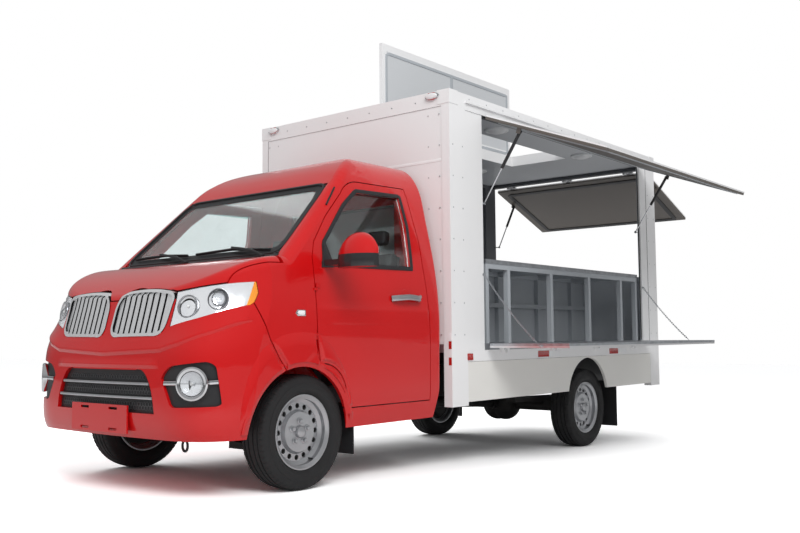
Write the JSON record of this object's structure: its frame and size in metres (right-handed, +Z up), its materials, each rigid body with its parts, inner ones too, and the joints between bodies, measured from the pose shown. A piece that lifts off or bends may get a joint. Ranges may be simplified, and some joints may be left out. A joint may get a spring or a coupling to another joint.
{
  "type": "ice cream truck",
  "caption": "Small red forward-cab truck with a white vending body, its serving flap, rear flap and roof hatch open.",
  "frame": {"origin": "on the road, at the middle of the overall length and width with the flaps as shown", "axes": "+Z up, -Y towards the front of the truck, +X towards its left side, where the serving opening is"},
  "size_m": [2.882, 5.7965, 3.06],
  "materials": {
    "red_paint": "gloss",
    "white_panel": "gloss",
    "cream_panel": "satin",
    "black_paint": "satin",
    "dark_trim": "matte",
    "interior_grey": "satin",
    "galvanised": "satin",
    "leaf_grey": "satin",
    "clear_glass": "clear",
    "lamp_lens": "clear",
    "chrome_trim": "polished",
    "tyre_rubber": "matte",
    "rim_silver": "satin",
    "cast_grey": "rough",
    "seat_cloth": "woven",
    "red_plastic": "gloss",
    "flap_rubber": "matte"
  },
  "bodies": {
    "truck": {"chassis_frame": "black_paint", "engine": "cast_grey", "underbody_units": "black_paint", "cab_body": "red_paint", "dashboard": "dark_trim", "seats": "seat_cloth", "steering_wheel": "dark_trim", "cab_glass": "clear_glass", "front_bumper": "red_paint", "grilles": "chrome_trim", "headlamps": "lamp_lens", "fog_lamps": "dark_trim", "mud_flaps": "flap_rubber", "plate_holder": "red_plastic", "box_frame": "white_panel", "box_floor": "galvanised", "box_walls": "white_panel", "box_roof": "white_panel", "skirts": "cream_panel", "cabinet": "interior_grey", "worktop": "galvanised", "ceiling_lamps": "lamp_lens", "body_lamps": "red_plastic", "chains": "galvanised", "front_suspension": "cast_grey", "rear_axle": "cast_grey", "leaf_springs": "cast_grey"},
    "bonnet": {"bonnet": "red_paint"},
    "door_left": {"door_left": "red_paint", "door_glass_left": "clear_glass", "mirror_left": "dark_trim"},
    "door_right": {"door_right": "red_paint", "door_glass_right": "clear_glass", "mirror_right": "dark_trim"},
    "knuckle_left": {"knuckle_left": "cast_grey"},
    "knuckle_right": {"knuckle_right": "cast_grey"},
    "wheel_front_left": {"tyre_front_left": "tyre_rubber", "rim_front_left": "rim_silver"},
    "wheel_front_right": {"tyre_front_right": "tyre_rubber", "rim_front_right": "rim_silver"},
    "wheel_rear_left": {"tyre_rear_left": "tyre_rubber", "rim_rear_left": "rim_silver"},
    "wheel_rear_right": {"tyre_rear_right": "tyre_rubber", "rim_rear_right": "rim_silver"},
    "awning_left": {"awning_left": "leaf_grey"},
    "strut_tubes_left": {"strut_tubes_left": "black_paint"},
    "strut_rods_left": {"strut_rods_left": "chrome_trim"},
    "awning_rear": {"awning_rear": "leaf_grey"},
    "strut_tubes_rear": {"strut_tubes_rear": "black_paint"},
    "strut_rods_rear": {"strut_rods_rear": "chrome_trim"},
    "flap_left": {"flap_left": "galvanised"},
    "hatch_lid": {"hatch_lid": "white_panel"}
  },
  "joints": [
    {"name": "bonnet_hinge", "type": "hinge", "parent": "truck", "child": "bonnet", "pos_m": [-0.31603, -2.34141, 1.19602], "axis": [-1, 0, 0], "range_deg": [0, 50]},
    {"name": "door_left_hinge", "type": "hinge", "parent": "truck", "child": "door_left", "pos_m": [0.49597, -2.11493, 1.0011], "axis": [0, 0.0227, -0.9997], "range_deg": [0, 55]},
    {"name": "door_right_hinge", "type": "hinge", "parent": "truck", "child": "door_right", "pos_m": [-1.12803, -2.11493, 1.0011], "axis": [0, -0.0227, 0.9997], "range_deg": [0, 55]},
    {"name": "steer_left", "type": "hinge", "parent": "truck", "child": "knuckle_left", "pos_m": [0.27197, -2.15223, 0.3], "axis": [0, 0, 1], "range_deg": [-30, 30]},
    {"name": "steer_right", "type": "hinge", "parent": "truck", "child": "knuckle_right", "pos_m": [-0.90403, -2.15223, 0.3], "axis": [0, 0, 1], "range_deg": [-30, 30]},
    {"name": "spin_front_left", "type": "hinge", "parent": "knuckle_left", "child": "wheel_front_left", "pos_m": [0.37697, -2.15223, 0.3], "axis": [1, 0, 0], "continuous": true},
    {"name": "spin_front_right", "type": "hinge", "parent": "knuckle_right", "child": "wheel_front_right", "pos_m": [-1.00903, -2.15223, 0.3], "axis": [1, 0, 0], "continuous": true},
    {"name": "spin_rear_left", "type": "hinge", "parent": "truck", "child": "wheel_rear_left", "pos_m": [0.38797, 0.89777, 0.3], "axis": [1, 0, 0], "continuous": true},
    {"name": "spin_rear_right", "type": "hinge", "parent": "truck", "child": "wheel_rear_right", "pos_m": [-1.02003, 0.89777, 0.3], "axis": [1, 0, 0], "continuous": true},
    {"name": "awning_left_hinge", "type": "hinge", "parent": "truck", "child": "awning_left", "pos_m": [0.57197, -2.20325, 2.24842], "axis": [0, 0.9997, 0.0227], "range_deg": [0, 69.2]},
    {"name": "strut_left_pivot", "type": "hinge", "parent": "awning_left", "child": "strut_tubes_left", "pos_m": [0.81597, -2.19994, 2.10228], "axis": [0, 0.9997, 0.0227], "range_deg": [-106.6, 3]},
    {"name": "strut_left_slide", "type": "slide", "parent": "strut_tubes_left", "child": "strut_rods_left", "axis": [0.5487, -0.019, 0.8358], "range_m": [-0.002, 0.2218]},
    {"name": "awning_rear_hinge", "type": "hinge", "parent": "truck", "child": "awning_rear", "pos_m": [-0.31603, 2.03866, 2.34468], "axis": [-1, 0, 0], "range_deg": [0, 69.2]},
    {"name": "strut_rear_pivot", "type": "hinge", "parent": "awning_rear", "child": "strut_tubes_rear", "pos_m": [-0.31603, 2.2859, 2.20408], "axis": [-1, 0, 0], "range_deg": [-106.6, 3]},
    {"name": "strut_rear_slide", "type": "slide", "parent": "strut_tubes_rear", "child": "strut_rods_rear", "axis": [0, 0.5296, 0.8483], "range_m": [-0.002, 0.2218]},
    {"name": "flap_left_hinge", "type": "hinge", "parent": "truck", "child": "flap_left", "pos_m": [0.57197, -2.16843, 0.71382], "axis": [0, -0.9997, -0.0227], "range_deg": [0, 90]},
    {"name": "hatch_hinge", "type": "hinge", "parent": "truck", "child": "hatch_lid", "pos_m": [-0.43303, -2.20604, 2.37139], "axis": [0, 0.9997, 0.0227], "range_deg": [0, 90]}
  ],
  "couplings": [
    {"joint": "steer_right", "follows": "steer_left", "ratio": 1},
    {"joint": "strut_left_pivot", "follows": "awning_left_hinge", "ratio": -1.4972},
    {"joint": "strut_left_slide", "follows": "awning_left_hinge", "m_per_rad": 0.18202},
    {"joint": "strut_rear_pivot", "follows": "awning_rear_hinge", "ratio": -1.4972},
    {"joint": "strut_rear_slide", "follows": "awning_rear_hinge", "m_per_rad": 0.18202}
  ]
}
